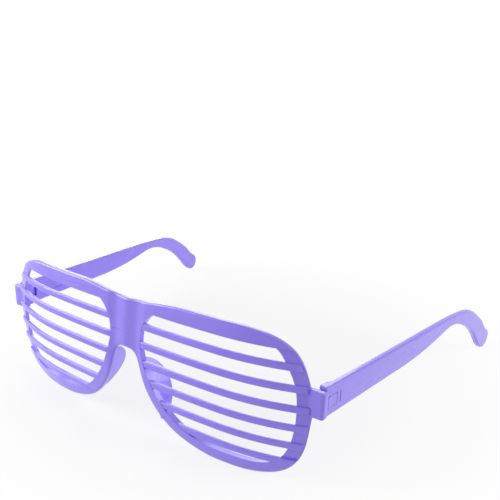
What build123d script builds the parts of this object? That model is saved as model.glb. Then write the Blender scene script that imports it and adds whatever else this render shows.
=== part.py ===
from build123d import *
from math import cos, radians, sin
import os

# Overall sizes, in millimetres: X across the face, Y back along the temples, Z up
end_half_width = 76.0
end_overhang = 4.0
front_height = 53.7
bridge_drop = 2.0
overrun = 2.0

# The front leans back by this angle when the rims and the ear tips share a table
rake = 1.9

# Wrap of the front, seen from above: a nearly flat middle and a tighter curve at each side
flat_half_width = 40.0
flat_sag = 1.13
wrap_depth = 11.2

# Swell of the front, seen from the side: one curve from brow to rim bottom
dome_radius = 130.0
dome_height = 28.0
dome_angle = 16.0

# Bridge: a soft swell in the middle with a shallow valley beside each rim
valley_place = 5.4
valley_depth = 0.6
ridge_place = 9.6
ridge_sag = 0.06

# Depths, measured back from the front surface
rim_depth = 2.3
rim_round = 0.7
rim_setback = 0.9
slat_inset = 0.1
slat_depth = 1.6
slat_round = 0.5

# Eye openings and slats
eye_inner = 7.4
rim_side = 4.6
eye_bottom = 4.75
brow_height = 5.0
slat_count = 6
slat_height = 2.55
first_gap = 4.2
last_gap = 1.9
slat_end_inset = 0.6
slat_root = 0.6

# Nose pads, moulded in one with the rims
pad_length = 24.0
pad_reach = 9.7
pad_thickness = 1.5
pad_flare = 1.0
pad_lean = 26.0
pad_inner = 11.6
pad_drop = 13.3
pad_seat = 1.3
pad_round = 0.5

# End pieces, which turn the front back to the hinges
end_drop = 0.8
end_step = 0.54
end_depth = 2.6
end_reach = 7.0
end_round = 1.1
end_edge = 0.7

# Hinges: a tongue on the front, a fork on the temple round it, a pin up through both
hinge_inset = 2.3
hinge_gap = 0.45
knuckle_radius = 1.9
knuckle_bite = 0.9
upper_ear = 3.1
lower_ear = 2.3
tongue_gap = 0.15
tongue_length = 4.4
slot_gap = 0.2
pin_radius = 0.8
pin_fit = 0.05
pin_grip = 0.02
pin_reach = 2.2
pin_sink = 0.1
pin_head_radius = 1.3
pin_head_height = 0.5

# Temples, seen from the side: distances run back from the hinge pin
temple_length = 135.0
temple_thickness = 2.6
temple_outer = 1.7
temple_rise = 0.6
temple_splay = 5.7
temple_round = 0.8
root_length = 1.2
taper_length = 3.0
tip_rest_share = 0.963
groove_gap = 2.0
groove_width = 0.4
groove_depth = 0.15
recess_start = 12.5
recess_length = 14.0
recess_width = 5.0
recess_depth = 0.3

# Places worked out from the sizes above
rim_half_width = end_half_width - end_overhang
eye_outer = rim_half_width - rim_side
brow_underside = front_height - brow_height
first_slat_top = brow_underside - first_gap
slat_span = first_slat_top - slat_height - last_gap - eye_bottom
slat_pitch = slat_span / (slat_count - 1)
slat_tops = [first_slat_top - slat_pitch * i for i in range(slat_count)]
end_slope = 2 * (wrap_depth - flat_sag) / (end_half_width - flat_half_width)
end_front = wrap_depth - end_slope * end_overhang + end_step
end_back = end_front + end_depth
end_top = slat_tops[1] - end_drop
end_bottom = slat_tops[2] - slat_height - end_drop
end_height = end_top - end_bottom
hinge_x = end_half_width - hinge_inset
hinge_y = end_back + hinge_gap + knuckle_radius
overall_depth = hinge_y + temple_length * cos(radians(temple_splay))
dome_lead = dome_height * sin(radians(rake))
dome_sag = dome_height**2 / (2 * dome_radius)
lift = (flat_sag + dome_sag + rim_depth - rim_round) * sin(radians(rake))
block_depth = wrap_depth + dome_sag + rim_depth + 2 * overrun
tongue_bottom = end_bottom + lower_ear
tongue_top = end_top - upper_ear
tongue_height = tongue_top - tongue_bottom
tongue_middle = (tongue_bottom + tongue_top) / 2
root_bottom = end_bottom - temple_rise
root_top = end_top + temple_rise
pin_bottom = root_bottom + pin_sink
pin_top = tongue_top + pin_reach
inner_arm = temple_outer - temple_thickness
tip_back = hinge_y + tip_rest_share * temple_length * cos(radians(temple_splay))
tip_bottom = (tip_back * sin(radians(rake)) - lift) / cos(radians(rake))

# Planes: level through the rim bottoms, and upright through the front
level = Plane(Location((0, -(overall_depth + dome_lead) / 2, lift), (-rake, 0, 0)))
upright = Plane(origin=level.origin, x_dir=level.x_dir, z_dir=-level.y_dir)
dome_centre = level.location * Location((0, dome_radius, dome_height))
dome_start = Plane(dome_centre * Location((0, 0, 0), (-dome_angle, 0, 0)) * Location((0, -dome_radius, 0)))
dome_axis = Axis(dome_centre.position, level.x_dir)
rise = Axis(level.origin, level.z_dir)
hinge = Plane(level.location * Location((hinge_x, hinge_y, 0), (0, 0, -temple_splay)))
temple_side = Plane(origin=hinge.origin, x_dir=hinge.y_dir, z_dir=hinge.x_dir)

# Shares of the half width and of the height, down the outline from the brow to the nose arch
brow_rise_shares = (0.153, 0.978)
brow_start_share = 0.333
corner_shares = ((0.774, 0.981), (0.909, 0.893), (0.981, 0.700))
side_share = 0.540
lower_shares = ((0.994, 0.447), (0.977, 0.287), (0.908, 0.102), (0.777, 0.018))
inner_shares = ((0.408, 0.030), (0.272, 0.116), (0.137, 0.341))
nose_side_shares = (0.093, 0.497)
nose_top_shares = (0.048, 0.606)
arch_share = 0.621

# Shares of the eye opening's width and height, round from the brow's underside
eye_top_shares = (0.092, 0.857)
eye_right_shares = ((0.925, 0.900), (0.980, 0.745))
eye_side_share = 0.520
eye_lower_shares = ((0.978, 0.272), (0.910, 0.085))
eye_bottom_share = 0.580
eye_inner_shares = ((0.330, 0.050), (0.130, 0.285), (0.030, 0.550))
eye_left_share = 0.750
eye_top_corner_shares = (0.020, 0.890)

# Shares of the temple's length and of its root's top, along the temple's two edges
temple_top_shares = ((0.320, 0.938), (0.553, 0.900), (0.738, 0.847), (0.806, 0.793))
temple_top_shares += ((0.866, 0.675), (0.933, 0.497), (0.981, 0.350))
tip_shares = (1.0, 0.239)
temple_bottom_shares = ((0.921, 0.209), (0.895, 0.306), (0.865, 0.415), (0.829, 0.523))
temple_bottom_shares += ((0.767, 0.651), (0.709, 0.732), (0.665, 0.757), (0.592, 0.729))
temple_bottom_shares += ((0.495, 0.687), (0.368, 0.672))

# Splines leave and arrive with the pace of their own chord
unit_pull = (1, 1)


def on_front(shares, inset=0):
    """A point of the front's outline, from shares of its half width and height."""
    return (
        shares[0] * (rim_half_width - inset),
        inset + shares[1] * (front_height - 2 * inset),
    )


def in_eye(shares):
    """A point of the eye opening's outline, from shares of its width and height."""
    return (
        eye_inner + shares[0] * (eye_outer - eye_inner),
        eye_bottom + shares[1] * (brow_underside - eye_bottom),
    )


def front_outline(inset=0):
    """Right half of the front's outline, as a face, drawn in from the edge by an inset."""
    brow_start = on_front((brow_start_share, 1), inset)
    brow_end = (flat_half_width, front_height - inset)
    corner = [on_front(s, inset) for s in corner_shares]
    side = on_front((1, side_share), inset)
    lower = [on_front(s, inset) for s in lower_shares]
    bottom = (flat_half_width, inset)
    inner = [on_front(s, inset) for s in (*inner_shares, nose_side_shares, nose_top_shares)]
    bridge = (0, front_height - bridge_drop - inset)
    arch = on_front((0, arch_share), inset)
    with BuildSketch() as front_sketch:
        with BuildLine():
            Spline(
                bridge,
                on_front(brow_rise_shares, inset),
                brow_start,
                tangents=((1, 0), (1, 0)),
                tangent_scalars=unit_pull,
            )
            Line(brow_start, brow_end)
            Spline(brow_end, *corner, side, tangents=((1, 0), (0, -1)), tangent_scalars=unit_pull)
            Spline(side, *lower, bottom, tangents=((0, -1), (-1, 0)), tangent_scalars=unit_pull)
            Spline(bottom, *inner, arch, tangents=((-1, 0), (-1, 0)), tangent_scalars=unit_pull)
            Line(arch, bridge)
        make_face()
    return front_sketch.sketch


def eye_outline():
    """Right eye opening, as a face."""
    with BuildSketch() as eye_sketch:
        with BuildLine():
            top_left = in_eye((eye_top_shares[0], 1))
            top_right = in_eye((eye_top_shares[1], 1))
            side = in_eye((1, eye_side_share))
            bottom = in_eye((eye_bottom_share, 0))
            left = in_eye((0, eye_left_share))
            right = [in_eye(s) for s in eye_right_shares]
            lower = [in_eye(s) for s in eye_lower_shares]
            inner = [in_eye(s) for s in eye_inner_shares]
            corner = in_eye(eye_top_corner_shares)
            Line(top_left, top_right)
            Spline(top_right, *right, side, tangents=((1, -0.4), (0, -1)), tangent_scalars=unit_pull)
            Spline(side, *lower, bottom, tangents=((0, -1), (-1, 0)), tangent_scalars=unit_pull)
            Spline(bottom, *inner, left, tangents=((-1, 0), (0, 1)), tangent_scalars=unit_pull)
            Spline(left, corner, top_left, tangents=((0, 1), (1, 0.7)), tangent_scalars=unit_pull)
        make_face()
    return eye_sketch.sketch


def wrap_band(near, far):
    """Plan of the right half of the wrapped front between two depths, as a face."""
    centre = (0, near)
    valley = (valley_place, near + valley_depth)
    ridge = (ridge_place, near + ridge_sag)
    with BuildSketch() as wrap_sketch:
        with BuildLine():
            Spline(centre, valley, ridge, tangents=((1, 0), (1, 0)), tangent_scalars=unit_pull)
            middle = TangentArc(ridge, (flat_half_width, flat_sag + near), tangent=(1, 0))
            TangentArc(middle @ 1, (end_half_width, wrap_depth + near), tangent=middle % 1)
            back = TangentArc((0, far), (flat_half_width, flat_sag + far), tangent=(1, 0))
            TangentArc(back @ 1, (end_half_width, wrap_depth + far), tangent=back % 1)
            Line(centre, (0, far))
            Line((end_half_width, wrap_depth + near), (end_half_width, wrap_depth + far))
        make_face()
    return wrap_sketch.sketch


def temple_point(shares):
    """A point of the temple's outline, from shares of its length and of its root's top."""
    return (shares[0] * temple_length, shares[1] * root_top)


def temple_outline():
    """Side view of a temple, with its hinge at the origin, as a face."""
    top = [temple_point(s) for s in temple_top_shares]
    bottom = [temple_point(s) for s in temple_bottom_shares]
    rest = (tip_rest_share * temple_length, tip_bottom)
    front_bottom = (-knuckle_radius, root_bottom)
    front_top = (-knuckle_radius, root_top)
    with BuildSketch() as side_sketch:
        with BuildLine():
            Line(front_bottom, front_top)
            upper = Line(front_top, top[0])
            lower = Line(bottom[-1], front_bottom)
            tip = ThreePointArc(top[-1], temple_point(tip_shares), rest)
            Spline(*top, tangents=(upper % 1, tip % 0), tangent_scalars=unit_pull)
            Spline(rest, *bottom, tangents=(tip % 1, lower % 0), tangent_scalars=unit_pull)
        make_face()
    return side_sketch.sketch


def temple_plan():
    """Top view of a temple, with its hinge at the origin, as a face."""
    end = temple_length + overrun
    with BuildSketch() as plan_sketch:
        with BuildLine():
            Polyline(
                (inner_arm, root_length + taper_length),
                (inner_arm, end),
                (temple_outer, end),
                (temple_outer, -knuckle_radius),
                (0, -knuckle_radius),
            )
            RadiusArc((0, -knuckle_radius), (-knuckle_radius, 0), knuckle_radius)
            Line((-knuckle_radius, 0), (-knuckle_radius, root_length))
            Spline(
                (-knuckle_radius, root_length),
                (inner_arm, root_length + taper_length),
                tangents=((0, 1), (0, 1)),
                tangent_scalars=unit_pull,
            )
        make_face()
    return plan_sketch.sketch


def outline_edges(half):
    """Edges round a half of the front, without those on its middle plane and its seam."""
    return half.edges().filter_by(
        lambda e: min(e.length, e.center().X) > overrun and e.bounding_box().size.X > rim_depth
    )


# Slats of the right eye: rounded bars that follow the front and stop short of the rim's edge
with BuildPart() as slats:
    with BuildSketch(dome_start):
        add(wrap_band(slat_inset, slat_depth))
    revolve(axis=dome_axis, revolution_arc=2 * dome_angle)
    with BuildSketch(upright.offset(overrun)):
        for top in slat_tops:
            with Locations((eye_inner - slat_root, top)):
                Rectangle(end_half_width, slat_height, align=(Align.MIN, Align.MAX))
    extrude(amount=-block_depth, mode=Mode.INTERSECT)
    fillet(slats.edges().filter_by(lambda e: e.length > 3 * slat_height), slat_round)
    with BuildSketch(upright.offset(overrun)):
        add(front_outline(slat_end_inset))
    extrude(amount=-block_depth, mode=Mode.INTERSECT)

# Gaps between the slats
with BuildPart() as gaps:
    with BuildSketch(upright.offset(overrun)):
        add(eye_outline())
    extrude(amount=-block_depth)
    add(slats.part, mode=Mode.SUBTRACT)

# Step in the outer rim, over which the slats run
with BuildPart() as rim_step:
    with BuildSketch(dome_start):
        add(wrap_band(-overrun, rim_setback))
    revolve(axis=dome_axis, revolution_arc=2 * dome_angle)
    with BuildSketch(upright.offset(2 * overrun)):
        with Locations((eye_outer, brow_underside)):
            Rectangle(
                2 * (end_half_width - eye_outer),
                brow_underside - slat_tops[-1],
                align=(Align.CENTER, Align.MAX),
            )
    extrude(amount=-block_depth - overrun, mode=Mode.INTERSECT)
    add(slats.part, mode=Mode.SUBTRACT)

# Right half of the front
with BuildPart() as right_half:
    with BuildSketch(dome_start):
        add(wrap_band(0, rim_depth))
    revolve(axis=dome_axis, revolution_arc=2 * dome_angle)
    with BuildSketch(upright.offset(overrun)):
        add(front_outline())
    extrude(amount=-block_depth, mode=Mode.INTERSECT)
    fillet(outline_edges(right_half), rim_round)
    add(gaps.part, mode=Mode.SUBTRACT)
    add(rim_step.part, mode=Mode.SUBTRACT)

# Right nose pad: a leaf that follows the nose side of the rim and flares as it runs back
pad_down = level.x_dir * sin(radians(pad_lean)) - level.z_dir * cos(radians(pad_lean))
pad_away = level.x_dir * cos(radians(pad_lean)) + level.z_dir * sin(radians(pad_lean))
pad_back = level.y_dir * cos(radians(pad_flare)) + pad_away * sin(radians(pad_flare))
pad_plane = Plane(
    origin=level.from_local_coords((pad_inner, pad_seat, arch_share * front_height - pad_drop)),
    x_dir=pad_back,
    z_dir=pad_back.cross(pad_down),
)
with BuildPart() as nose_pad:
    with BuildSketch(pad_plane):
        with BuildLine():
            leaf = ThreePointArc((0, -pad_length / 2), (pad_reach, 0), (0, pad_length / 2))
            Line(leaf @ 0, leaf @ 1)
        make_face()
    extrude(amount=pad_thickness / 2, both=True)
    fillet(nose_pad.edges().filter_by(GeomType.CIRCLE), pad_round)

# Right end piece with its hinge tongue, which lies flush with the temple's outer face
with BuildPart() as end_piece:
    with BuildSketch(level.offset(end_bottom)):
        with Locations((end_half_width, end_back)):
            Rectangle(end_reach, end_depth, align=(Align.MAX, Align.MAX))
    extrude(amount=end_height)
    front_corner = end_piece.edges().filter_by(rise).group_by(Axis.X)[-1].sort_by(Axis.Y)[0]
    fillet(front_corner, end_round)
    end_faces = end_piece.faces().sort_by(rise)
    fillet(end_faces[0].edges() + end_faces[-1].edges(), end_edge)
    with BuildSketch(hinge.offset(tongue_bottom)):
        Circle(knuckle_radius)
        Rectangle(temple_outer, tongue_length, align=(Align.MIN, Align.MIN))
        with Locations((temple_outer, 0)):
            Rectangle(
                temple_outer + knuckle_radius,
                knuckle_radius + hinge_gap + knuckle_bite,
                align=(Align.MAX, Align.MAX),
            )
    extrude(amount=tongue_height)
    with BuildSketch(hinge.offset(tongue_bottom)):
        Circle(pin_radius + pin_grip)
    extrude(amount=tongue_height, mode=Mode.SUBTRACT)

# The front: both halves, moulded in one
with BuildPart() as front_frame:
    add(right_half.part)
    add(nose_pad.part)
    add(end_piece.part)
    mirror(about=Plane.YZ)
front_frame.part.label = "front_frame"

# Right temple
with BuildPart() as right_temple:
    with BuildSketch(temple_side.offset(temple_outer)):
        add(temple_outline())
    extrude(amount=-temple_outer - knuckle_radius)
    with BuildSketch(hinge):
        add(temple_plan())
    extrude(amount=root_top + overrun, mode=Mode.INTERSECT)
    long_edges = right_temple.edges().filter_by(
        lambda e: min(e.length, e.bounding_box().size.Y) > taper_length / 2
    )
    fillet(long_edges, temple_round)
    with BuildSketch(hinge.offset(tongue_bottom - tongue_gap)):
        with Locations((0, tongue_length + slot_gap)):
            Rectangle(
                2 * knuckle_radius + overrun,
                tongue_length + slot_gap + knuckle_radius + overrun,
                align=(Align.CENTER, Align.MAX),
            )
    extrude(amount=tongue_height + 2 * tongue_gap, mode=Mode.SUBTRACT)
    with BuildSketch(hinge.offset(pin_bottom)):
        Circle(pin_radius + pin_fit)
    extrude(amount=pin_top + pin_fit - pin_bottom, mode=Mode.SUBTRACT)
    with BuildSketch(hinge.offset(pin_bottom + pin_head_height)):
        Circle(pin_head_radius + pin_fit)
    extrude(amount=-pin_head_height - overrun, mode=Mode.SUBTRACT)
    with BuildSketch(temple_side.offset(temple_outer)):
        with Locations((tongue_length + groove_gap, tongue_middle)):
            Rectangle(groove_width, tongue_height)
    extrude(amount=-groove_depth, mode=Mode.SUBTRACT)
    with BuildSketch(temple_side.offset(inner_arm)):
        with Locations((recess_start + recess_length / 2, tongue_middle)):
            SlotOverall(recess_length, recess_width)
    extrude(amount=recess_depth, mode=Mode.SUBTRACT)
right_temple.part.label = "right_temple"

with BuildPart() as left_temple:
    mirror(right_temple.part, about=Plane.YZ)
left_temple.part.label = "left_temple"

# Right hinge pin, pushed up from below, with its head sunk in the fork
with BuildPart() as right_hinge_pin:
    with BuildSketch(hinge.offset(pin_bottom)):
        Circle(pin_head_radius)
    extrude(amount=pin_head_height)
    with BuildSketch(hinge.offset(pin_bottom)):
        Circle(pin_radius)
    extrude(amount=pin_top - pin_bottom)
right_hinge_pin.part.label = "right_hinge_pin"

with BuildPart() as left_hinge_pin:
    mirror(right_hinge_pin.part, about=Plane.YZ)
left_hinge_pin.part.label = "left_hinge_pin"

os.makedirs("parts", exist_ok=True)
for piece in (front_frame, right_temple, left_temple, right_hinge_pin, left_hinge_pin):
    export_step(piece.part, f"parts/{piece.part.label}.step")
    print(piece.part.label, piece.part.is_valid, len(piece.part.solids()), round(piece.part.volume, 1))
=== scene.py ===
"""Slatted novelty glasses: finishes, stage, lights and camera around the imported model."""
import math

import bpy
from mathutils import Matrix, Vector


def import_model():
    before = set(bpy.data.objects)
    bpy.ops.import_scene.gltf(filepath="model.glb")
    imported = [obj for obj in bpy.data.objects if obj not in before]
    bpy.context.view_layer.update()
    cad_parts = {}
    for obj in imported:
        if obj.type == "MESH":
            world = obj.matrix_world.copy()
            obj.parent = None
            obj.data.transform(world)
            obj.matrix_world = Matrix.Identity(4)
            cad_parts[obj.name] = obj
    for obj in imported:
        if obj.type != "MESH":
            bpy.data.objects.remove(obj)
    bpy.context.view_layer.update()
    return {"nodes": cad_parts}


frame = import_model()

SENSOR = 36.0
PHOTO_WIDTH = 500

# The camera's place in the photograph's lower view: degrees, metres and pixels
VIEW_AZIMUTH = 37.51
VIEW_ELEVATION = 22.90
VIEW_ROLL = -0.65
VIEW_DISTANCE = 0.3021
AIM_RIGHT = -0.01212
AIM_UP = 0.02813
FOCAL_PIXELS = 652.3
AXIS_PIXEL_X = 215.0
AXIS_PIXEL_Y = 290.0
CLIP_NEAR = 0.01
CLIP_FAR = 20.0

# Colours as linear values: the plastic's follow shades measured in the photograph, the steel's are guesses
PLASTIC_PALE = (0.312, 0.224, 0.930, 1.0)
PLASTIC_MID = (0.288, 0.204, 0.910, 1.0)
PLASTIC_DEEP = (0.262, 0.182, 0.880, 1.0)
STEEL_PALE = (0.62, 0.62, 0.63, 1.0)
STEEL_DARK = (0.40, 0.40, 0.42, 1.0)
WHITE = (1.0, 1.0, 1.0, 1.0)

# Noise that a mapping has already stretched keeps this scale
STRETCHED_SCALE = 1.0

# Plastic: noise scales are counts per metre, distances are metres
CLOUD_SCALE = 38.0
CLOUD_DETAIL = 3.0
CLOUD_ROUGHNESS = 0.5
DEEP_PLACE = 0.25
MID_PLACE = 0.5
PALE_PLACE = 0.75
FLOW_STRETCH = (18.0, 30.0, 260.0)
FLOW_DETAIL = 4.0
FLOW_DISTORTION = 0.6
FLOW_LOW = 0.3
FLOW_HIGH = 0.7
PLASTIC_SMOOTH = 0.26
PLASTIC_DULL = 0.36
SINK_SCALE = 110.0
SINK_DETAIL = 2.0
SINK_STRENGTH = 0.22
SINK_DISTANCE = 0.0006
GRAIN_SCALE = 2600.0
GRAIN_DETAIL = 2.0
GRAIN_STRENGTH = 0.10
GRAIN_DISTANCE = 0.00006
EDGE_SAMPLES = 6
EDGE_RADIUS = 0.0003
PLASTIC_IOR = 1.55
COAT_WEIGHT = 0.6
COAT_ROUGHNESS = 0.12
DEPTH_WEIGHT = 0.25
DEPTH_RADII = (0.6, 0.5, 1.0)
DEPTH_SCALE = 0.0012

# Steel of the pins
WIRE_STRETCH = (4000.0, 4000.0, 160.0)
WIRE_DETAIL = 3.0
STEEL_SMOOTH = 0.24
STEEL_DULL = 0.42
METAL = 1.0

# Floor: where the camera sees it fade to plain white, in metres, and its own tone
FADE_START = 0.04
FADE_END = 0.15
NEAR_WHITE = 0.70
FLOOR_SIDE = 12.0
SPECK_SCALE = 9.0
FLOOR_DARK = 0.90
FLOOR_PALE = 0.92

# World and lamps: place and side in metres, power in watts
SKY_LIGHT = 0.28
SKY_WHITE = 1.0
LAMP_SIDE = 0.6
LAMP_TARGET = (0.0, 0.0, 0.02)
LAMPS = {
    "left_box": ((-0.62, -0.42, 0.38), 5.6),
    "right_box": ((0.80, 0.35, 0.40), 4.6),
    "back_box": ((-0.50, 0.62, 0.36), 2.6),
}


class Nodes:
    """A short hand for building one material's node tree."""

    def __init__(self, tree):
        self.tree = tree
        tree.nodes.clear()

    def add(self, kind, **values):
        node = self.tree.nodes.new(kind)
        for name, value in values.items():
            if name in node.inputs:
                node.inputs[name].default_value = value
            else:
                setattr(node, name, value)
        return node

    def set(self, node, socket, value):
        node.inputs[socket].default_value = value

    def link(self, output, entry):
        self.tree.links.new(output, entry)


def new_material(name):
    """An empty material and the hand that fills it."""
    material = bpy.data.materials.new(name)
    material.use_nodes = True
    return material, Nodes(material.node_tree)


def purple_plastic():
    """Moulded styrene: soft cloudy colour, satin gloss, faint flow marks and a fine mould grain."""
    material, n = new_material("purple_plastic")
    place = n.add("ShaderNodeTexCoord")

    cloud = n.add("ShaderNodeTexNoise", Scale=CLOUD_SCALE, Detail=CLOUD_DETAIL)
    n.set(cloud, "Roughness", CLOUD_ROUGHNESS)
    n.link(place.outputs["Object"], cloud.inputs["Vector"])
    shades = n.add("ShaderNodeValToRGB")
    ramp = shades.color_ramp
    ramp.elements[0].position = DEEP_PLACE
    ramp.elements[0].color = PLASTIC_DEEP
    ramp.elements[1].position = PALE_PLACE
    ramp.elements[1].color = PLASTIC_PALE
    middle = ramp.elements.new(MID_PLACE)
    middle.color = PLASTIC_MID
    n.link(cloud.outputs["Fac"], shades.inputs["Fac"])

    stretch = n.add("ShaderNodeMapping")
    n.set(stretch, "Scale", FLOW_STRETCH)
    n.link(place.outputs["Object"], stretch.inputs["Vector"])
    flow = n.add("ShaderNodeTexNoise", Scale=STRETCHED_SCALE, Detail=FLOW_DETAIL)
    n.set(flow, "Distortion", FLOW_DISTORTION)
    n.link(stretch.outputs["Vector"], flow.inputs["Vector"])
    satin = n.add("ShaderNodeMapRange")
    n.set(satin, "From Min", FLOW_LOW)
    n.set(satin, "From Max", FLOW_HIGH)
    n.set(satin, "To Min", PLASTIC_SMOOTH)
    n.set(satin, "To Max", PLASTIC_DULL)
    n.link(flow.outputs["Fac"], satin.inputs["Value"])

    sink = n.add("ShaderNodeTexNoise", Scale=SINK_SCALE, Detail=SINK_DETAIL)
    n.link(place.outputs["Object"], sink.inputs["Vector"])
    grain = n.add("ShaderNodeTexNoise", Scale=GRAIN_SCALE, Detail=GRAIN_DETAIL)
    n.link(place.outputs["Object"], grain.inputs["Vector"])
    edges = n.add("ShaderNodeBevel", samples=EDGE_SAMPLES)
    n.set(edges, "Radius", EDGE_RADIUS)
    waves = n.add("ShaderNodeBump")
    n.set(waves, "Strength", SINK_STRENGTH)
    n.set(waves, "Distance", SINK_DISTANCE)
    n.link(sink.outputs["Fac"], waves.inputs["Height"])
    n.link(edges.outputs["Normal"], waves.inputs["Normal"])
    pores = n.add("ShaderNodeBump")
    n.set(pores, "Strength", GRAIN_STRENGTH)
    n.set(pores, "Distance", GRAIN_DISTANCE)
    n.link(grain.outputs["Fac"], pores.inputs["Height"])
    n.link(waves.outputs["Normal"], pores.inputs["Normal"])

    skin = n.add("ShaderNodeBsdfPrincipled")
    n.set(skin, "IOR", PLASTIC_IOR)
    n.set(skin, "Coat Weight", COAT_WEIGHT)
    n.set(skin, "Coat Roughness", COAT_ROUGHNESS)
    n.set(skin, "Subsurface Weight", DEPTH_WEIGHT)
    n.set(skin, "Subsurface Radius", DEPTH_RADII)
    n.set(skin, "Subsurface Scale", DEPTH_SCALE)
    n.link(shades.outputs["Color"], skin.inputs["Base Color"])
    n.link(satin.outputs["Result"], skin.inputs["Roughness"])
    n.link(pores.outputs["Normal"], skin.inputs["Normal"])
    out = n.add("ShaderNodeOutputMaterial")
    n.link(skin.outputs["BSDF"], out.inputs["Surface"])
    return material


def pin_steel():
    """Drawn wire: fine lines along the pin, darker and duller in turn."""
    material, n = new_material("pin_steel")
    place = n.add("ShaderNodeTexCoord")
    stretch = n.add("ShaderNodeMapping")
    n.set(stretch, "Scale", WIRE_STRETCH)
    n.link(place.outputs["Object"], stretch.inputs["Vector"])
    lines = n.add("ShaderNodeTexNoise", Scale=STRETCHED_SCALE, Detail=WIRE_DETAIL)
    n.link(stretch.outputs["Vector"], lines.inputs["Vector"])
    shades = n.add("ShaderNodeValToRGB")
    shades.color_ramp.elements[0].color = STEEL_DARK
    shades.color_ramp.elements[1].color = STEEL_PALE
    n.link(lines.outputs["Fac"], shades.inputs["Fac"])
    dull = n.add("ShaderNodeMapRange")
    n.set(dull, "To Min", STEEL_SMOOTH)
    n.set(dull, "To Max", STEEL_DULL)
    n.link(lines.outputs["Fac"], dull.inputs["Value"])
    skin = n.add("ShaderNodeBsdfPrincipled")
    n.set(skin, "Metallic", METAL)
    n.link(shades.outputs["Color"], skin.inputs["Base Color"])
    n.link(dull.outputs["Result"], skin.inputs["Roughness"])
    out = n.add("ShaderNodeOutputMaterial")
    n.link(skin.outputs["BSDF"], out.inputs["Surface"])
    return material


def finish_nodes():
    """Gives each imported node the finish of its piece."""
    plastic = purple_plastic()
    steel = pin_steel()
    for name, node in frame["nodes"].items():
        finish = steel if name.endswith("pin") else plastic
        node.data.materials.clear()
        node.data.materials.append(finish)


def floor():
    """A pale plane that keeps a faint shadow near the glasses and is plain white further out."""
    bpy.ops.mesh.primitive_plane_add(size=FLOOR_SIDE, location=(0.0, 0.0, 0.0))
    plane = bpy.context.object
    plane.name = "floor"
    material, n = new_material("pale_floor")
    place = n.add("ShaderNodeTexCoord")
    reach = n.add("ShaderNodeVectorMath", operation="LENGTH")
    n.link(place.outputs["Object"], reach.inputs[0])
    fade = n.add("ShaderNodeMapRange", interpolation_type="SMOOTHSTEP")
    n.set(fade, "From Min", FADE_START)
    n.set(fade, "From Max", FADE_END)
    n.set(fade, "To Min", NEAR_WHITE)
    n.link(reach.outputs["Value"], fade.inputs["Value"])
    speck = n.add("ShaderNodeTexNoise", Scale=SPECK_SCALE)
    n.link(place.outputs["Object"], speck.inputs["Vector"])
    tone = n.add("ShaderNodeMapRange")
    n.set(tone, "To Min", FLOOR_DARK)
    n.set(tone, "To Max", FLOOR_PALE)
    n.link(speck.outputs["Fac"], tone.inputs["Value"])
    paper = n.add("ShaderNodeBsdfDiffuse")
    n.link(tone.outputs["Result"], paper.inputs["Color"])
    glow = n.add("ShaderNodeEmission")
    n.set(glow, "Color", WHITE)
    rays = n.add("ShaderNodeLightPath")
    seen = n.add("ShaderNodeMath", operation="MULTIPLY")
    n.link(fade.outputs["Result"], seen.inputs[0])
    n.link(rays.outputs["Is Camera Ray"], seen.inputs[1])
    share = n.add("ShaderNodeMath", operation="MAXIMUM")
    n.link(seen.outputs["Value"], share.inputs[0])
    n.link(rays.outputs["Is Glossy Ray"], share.inputs[1])
    blend = n.add("ShaderNodeMixShader")
    n.link(share.outputs["Value"], blend.inputs["Fac"])
    n.link(paper.outputs["BSDF"], blend.inputs[1])
    n.link(glow.outputs["Emission"], blend.inputs[2])
    out = n.add("ShaderNodeOutputMaterial")
    n.link(blend.outputs["Shader"], out.inputs["Surface"])
    plane.data.materials.append(material)


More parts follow.
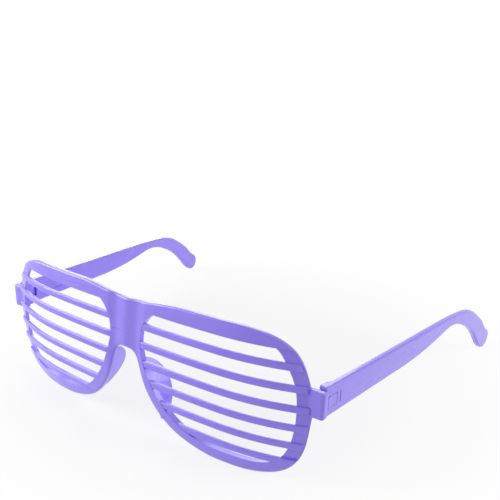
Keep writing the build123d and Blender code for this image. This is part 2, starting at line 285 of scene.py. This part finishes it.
def world():
    """Even light from all round, and plain white where the camera or a gloss sees past the floor."""
    sky = bpy.data.worlds.new("tent")
    sky.use_nodes = True
    n = Nodes(sky.node_tree)
    light = n.add("ShaderNodeBackground")
    n.set(light, "Color", WHITE)
    n.set(light, "Strength", SKY_LIGHT)
    white = n.add("ShaderNodeBackground")
    n.set(white, "Color", WHITE)
    n.set(white, "Strength", SKY_WHITE)
    rays = n.add("ShaderNodeLightPath")
    seen = n.add("ShaderNodeMath", operation="MAXIMUM")
    n.link(rays.outputs["Is Camera Ray"], seen.inputs[0])
    n.link(rays.outputs["Is Glossy Ray"], seen.inputs[1])
    blend = n.add("ShaderNodeMixShader")
    n.link(seen.outputs["Value"], blend.inputs["Fac"])
    n.link(light.outputs["Background"], blend.inputs[1])
    n.link(white.outputs["Background"], blend.inputs[2])
    out = n.add("ShaderNodeOutputWorld")
    n.link(blend.outputs["Shader"], out.inputs["Surface"])
    bpy.context.scene.world = sky


def soft_box(name, place, watts):
    """One square soft light aimed at the glasses."""
    data = bpy.data.lights.new(name, "AREA")
    data.size = LAMP_SIDE
    data.energy = watts
    lamp = bpy.data.objects.new(name, data)
    bpy.context.collection.objects.link(lamp)
    lamp.location = place
    aim = Vector(LAMP_TARGET) - Vector(place)
    lamp.rotation_mode = "QUATERNION"
    lamp.rotation_quaternion = aim.to_track_quat("-Z", "Y")


def lights():
    """A wide light at the front left, and one behind the glasses on each side."""
    for name, (place, watts) in LAMPS.items():
        soft_box(name, place, watts)


def camera():
    """The photograph's camera."""
    azimuth = math.radians(VIEW_AZIMUTH)
    elevation = math.radians(VIEW_ELEVATION)
    roll = math.radians(VIEW_ROLL)
    level_right = Vector((math.cos(azimuth), math.sin(azimuth), 0.0))
    back = Vector(
        (
            math.sin(azimuth) * math.cos(elevation),
            -math.cos(azimuth) * math.cos(elevation),
            math.sin(elevation),
        )
    )
    level_up = back.cross(level_right)
    right = level_right * math.cos(roll) + level_up * math.sin(roll)
    up = back.cross(right)
    data = bpy.data.cameras.new("photo_camera")
    data.sensor_width = SENSOR
    data.lens = FOCAL_PIXELS * SENSOR / PHOTO_WIDTH
    data.shift_x = (PHOTO_WIDTH / 2 - AXIS_PIXEL_X) / PHOTO_WIDTH
    data.shift_y = (AXIS_PIXEL_Y - PHOTO_WIDTH / 2) / PHOTO_WIDTH
    data.clip_start = CLIP_NEAR
    data.clip_end = CLIP_FAR
    viewer = bpy.data.objects.new("photo_camera", data)
    bpy.context.collection.objects.link(viewer)
    place = back * VIEW_DISTANCE + right * AIM_RIGHT + up * AIM_UP
    turn = Matrix((right, up, back)).transposed().to_4x4()
    viewer.matrix_world = Matrix.Translation(place) @ turn
    bpy.context.scene.camera = viewer


finish_nodes()
floor()
world()
lights()
camera()
bpy.context.scene.view_settings.view_transform = "Standard"
